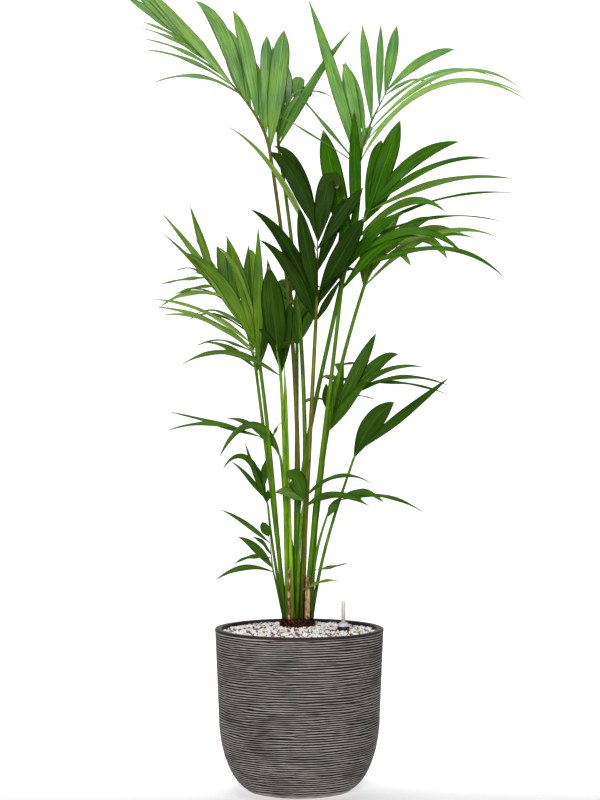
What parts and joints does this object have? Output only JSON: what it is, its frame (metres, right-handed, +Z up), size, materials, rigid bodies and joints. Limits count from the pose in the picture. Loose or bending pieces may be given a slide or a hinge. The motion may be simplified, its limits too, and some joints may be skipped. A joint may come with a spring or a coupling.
{
  "type": "kentia palm in a planter",
  "caption": "Kentia palm with feathered fronds on slender stalks, rooted in white granules in a round ribbed planter with a water gauge.",
  "frame": {"origin": "middle of the planter's flat underside", "axes": "+Z up, -Y to the viewed side, +X to the viewer's right"},
  "size_m": [1.059, 0.8184, 2.087],
  "materials": {
    "planter": "matte",
    "granules": "matte",
    "root_crown": "matte",
    "dry_sheath": "matte",
    "spear": "satin",
    "stalk": "satin",
    "frond": "satin",
    "gauge_dark": "satin",
    "gauge_clear": "gloss",
    "gauge_red": "satin"
  },
  "bodies": {
    "root": {"back_low": "frond", "back_low_stalk": "stalk", "back_mid": "frond", "back_mid_stalk": "stalk", "centre_front": "frond", "centre_front_stalk": "stalk", "centre_low": "frond", "centre_low_stalk": "stalk", "centre_right": "frond", "centre_right_stalk": "stalk", "crest_back": "frond", "crest_back_stalk": "stalk", "crest_left": "frond", "crest_left_stalk": "stalk", "crest_right": "frond", "crest_right_stalk": "stalk", "gauge_base": "gauge_dark", "gauge_dome": "gauge_clear", "gauge_float": "gauge_red", "gauge_tube": "gauge_clear", "granules": "granules", "inner_stalk_front": "stalk", "inner_stalk_left": "stalk", "inner_stalk_right": "stalk", "left_arch": "frond", "left_arch_stalk": "stalk", "left_back": "frond", "left_back_stalk": "stalk", "left_front": "frond", "left_front_stalk": "stalk", "left_low": "frond", "left_low_stalk": "stalk", "left_lowest": "frond", "left_lowest_stalk": "stalk", "left_mid": "frond", "left_mid_stalk": "stalk", "old_chip": "dry_sheath", "old_sheath_left": "dry_sheath", "old_sheath_right": "dry_sheath", "old_stub": "dry_sheath", "planter": "planter", "right_low": "frond", "right_low_back": "frond", "right_low_back_stalk": "stalk", "right_low_stalk": "stalk", "right_mid": "frond", "right_mid_stalk": "stalk", "right_pair": "frond", "right_pair_stalk": "stalk", "root_crown": "root_crown", "spear": "spear", "sprout_front": "frond", "sprout_front_stalk": "stalk", "sprout_right": "frond", "sprout_right_stalk": "stalk"}
  },
  "joints": []
}
